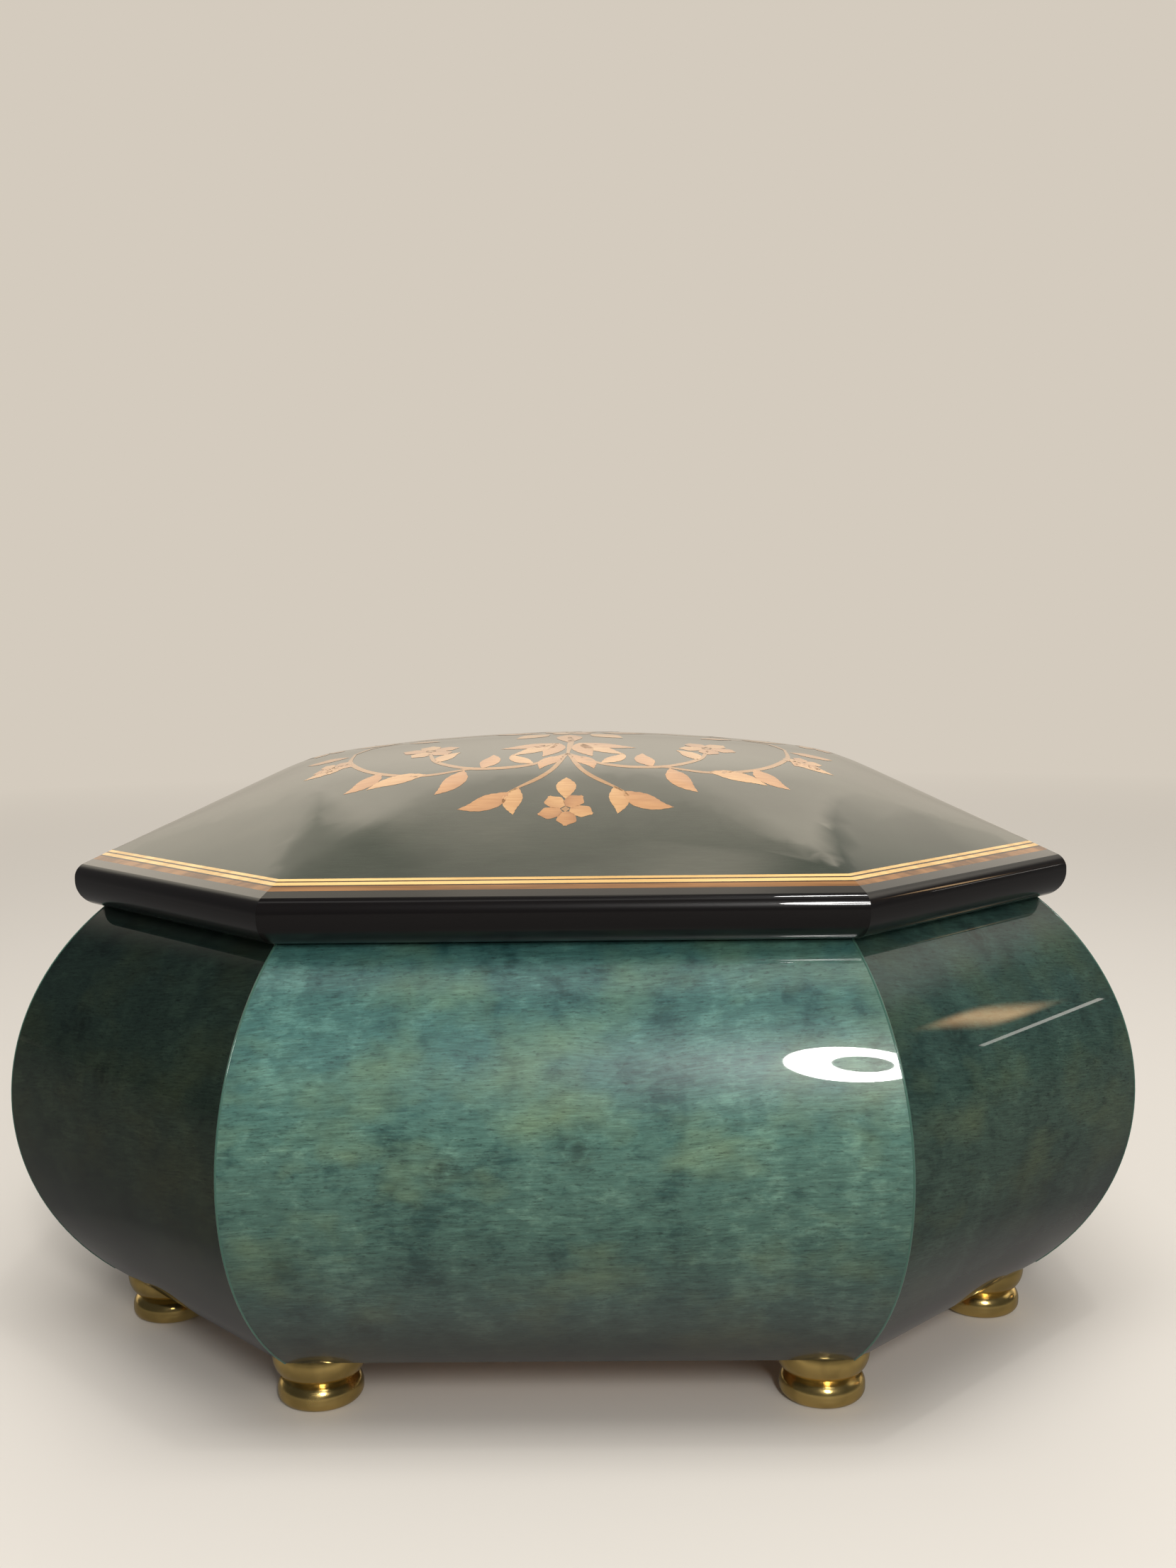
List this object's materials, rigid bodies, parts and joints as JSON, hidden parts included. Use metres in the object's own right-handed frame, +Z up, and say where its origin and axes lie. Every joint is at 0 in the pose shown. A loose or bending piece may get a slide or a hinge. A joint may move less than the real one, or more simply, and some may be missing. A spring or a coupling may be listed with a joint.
{
  "type": "musical jewelry box",
  "caption": "Footed octagonal jewelry box with bulging veneered walls, a domed inlaid lid, a lined interior and a wind-up cylinder music movement.",
  "frame": {"origin": "centre of the box on the table plane, under the feet", "axes": "+X to the right of the front, +Y to the rear where the hinges are, +Z up"},
  "size_m": [0.2662, 0.2212, 0.1411],
  "materials": {
    "green_veneer": "gloss lacquer over dyed figured veneer",
    "green_dome": "gloss lacquer over dyed veneer",
    "black_edge": "gloss lacquer",
    "brown_inlay": "gloss lacquer",
    "dark_inlay": "gloss lacquer",
    "light_inlay": "gloss lacquer",
    "polished_brass": "polished",
    "plain_wood": "matt",
    "velvet_lining": "velvet",
    "velvet_pad": "velvet",
    "velvet_bed": "velvet",
    "velvet_rolls": "velvet",
    "clear_cover": "clear",
    "plated_bed": "satin",
    "steel_fixings": "satin",
    "comb_steel": "ground",
    "hinge_brass": "polished",
    "cylinder_brass": "satin",
    "gear_brass": "satin",
    "barrel_brass": "satin",
    "spring_steel": "satin",
    "arbor_steel": "satin",
    "key_brass": "polished"
  },
  "bodies": {
    "box": {"right_wall": "green_veneer", "rear_right_wall": "green_veneer", "rear_wall": "green_veneer", "rear_left_wall": "green_veneer", "left_wall": "green_veneer", "front_left_wall": "green_veneer", "front_wall": "green_veneer", "front_right_wall": "green_veneer", "base_board": "plain_wood", "foot_front_right": "polished_brass", "foot_right_front": "polished_brass", "foot_right_rear": "polished_brass", "foot_rear_right": "polished_brass", "foot_rear_left": "polished_brass", "foot_left_rear": "polished_brass", "foot_left_front": "polished_brass", "foot_front_left": "polished_brass", "foot_screws": "steel_fixings", "well_lining": "velvet_lining", "battens": "plain_wood", "raised_floor": "velvet_lining", "music_partition": "velvet_lining", "dividers": "velvet_lining", "ring_bed": "velvet_bed", "ring_rolls": "velvet_rolls", "music_cover": "clear_cover", "bedplate": "plated_bed", "movement_screws": "steel_fixings", "comb": "comb_steel", "comb_screws": "steel_fixings", "governor_frame": "gear_brass", "hinge_body_leaves": "hinge_brass", "hinge_pins": "hinge_brass", "hinge_body_screws": "steel_fixings"},
    "lid": {"lid_board": "green_dome", "right_moulding": "black_edge", "rear_right_moulding": "black_edge", "rear_moulding": "black_edge", "rear_left_moulding": "black_edge", "left_moulding": "black_edge", "front_left_moulding": "black_edge", "front_moulding": "black_edge", "front_right_moulding": "black_edge", "stringing_brown": "brown_inlay", "stringing_dark": "dark_inlay", "stringing_light": "light_inlay", "lid_pad": "velvet_pad", "hinge_lid_leaves": "hinge_brass", "hinge_lid_screws": "steel_fixings"},
    "stop_rod": {"stop_rod": "arbor_steel"},
    "stop_lever": {"stop_lever": "arbor_steel"},
    "winder": {"winding_arbor": "arbor_steel", "winding_key": "key_brass"},
    "cylinder": {"music_cylinder": "cylinder_brass", "cylinder_arbor": "gear_brass"},
    "barrel": {"spring_barrel": "barrel_brass", "barrel_cap": "barrel_brass", "mainspring": "spring_steel"},
    "second_wheel": {"second_wheel": "gear_brass"},
    "fan": {"worm_fan": "arbor_steel"}
  },
  "joints": [
    {"name": "lid_hinge", "type": "hinge", "parent": "box", "child": "lid", "pos_m": [0, 0.0937, 0.10285], "axis": [-1, 0, 0], "range_deg": [0, 95]},
    {"name": "stop_rod_slide", "type": "slide", "parent": "box", "child": "stop_rod", "axis": [0, 0, 1], "range_m": [0, 0.003]},
    {"name": "stop_lever_pivot", "type": "hinge", "parent": "box", "child": "stop_lever", "pos_m": [-0.08608, 0.0223, 0.0393], "axis": [-1, 0, 0], "range_deg": [0, 6]},
    {"name": "winder_turn", "type": "hinge", "parent": "box", "child": "winder", "pos_m": [-0.066, -0.017, 0.008], "axis": [0, 0, 1], "continuous": true},
    {"name": "cylinder_turn", "type": "hinge", "parent": "box", "child": "cylinder", "pos_m": [-0.066, 0.0109, 0.0403], "axis": [0, 1, 0], "continuous": true},
    {"name": "barrel_turn", "type": "hinge", "parent": "box", "child": "barrel", "pos_m": [-0.066, -0.017, 0.0244], "axis": [0, 0, 1], "continuous": true},
    {"name": "second_wheel_turn", "type": "hinge", "parent": "box", "child": "second_wheel", "pos_m": [-0.07448, 0.0295, 0.03182], "axis": [0, 1, 0], "continuous": true},
    {"name": "fan_turn", "type": "hinge", "parent": "box", "child": "fan", "pos_m": [-0.08109, 0.0295, 0.03182], "axis": [0, 0, 1], "continuous": true}
  ],
  "couplings": [
    {"joint": "stop_rod_slide", "follows": "lid_hinge", "m_per_rad": 0.001808},
    {"joint": "stop_lever_pivot", "follows": "lid_hinge", "ratio": 0.06309},
    {"joint": "barrel_turn", "follows": "cylinder_turn", "ratio": 0.33333},
    {"joint": "second_wheel_turn", "follows": "cylinder_turn", "ratio": -4},
    {"joint": "fan_turn", "follows": "cylinder_turn", "ratio": 96}
  ]
}
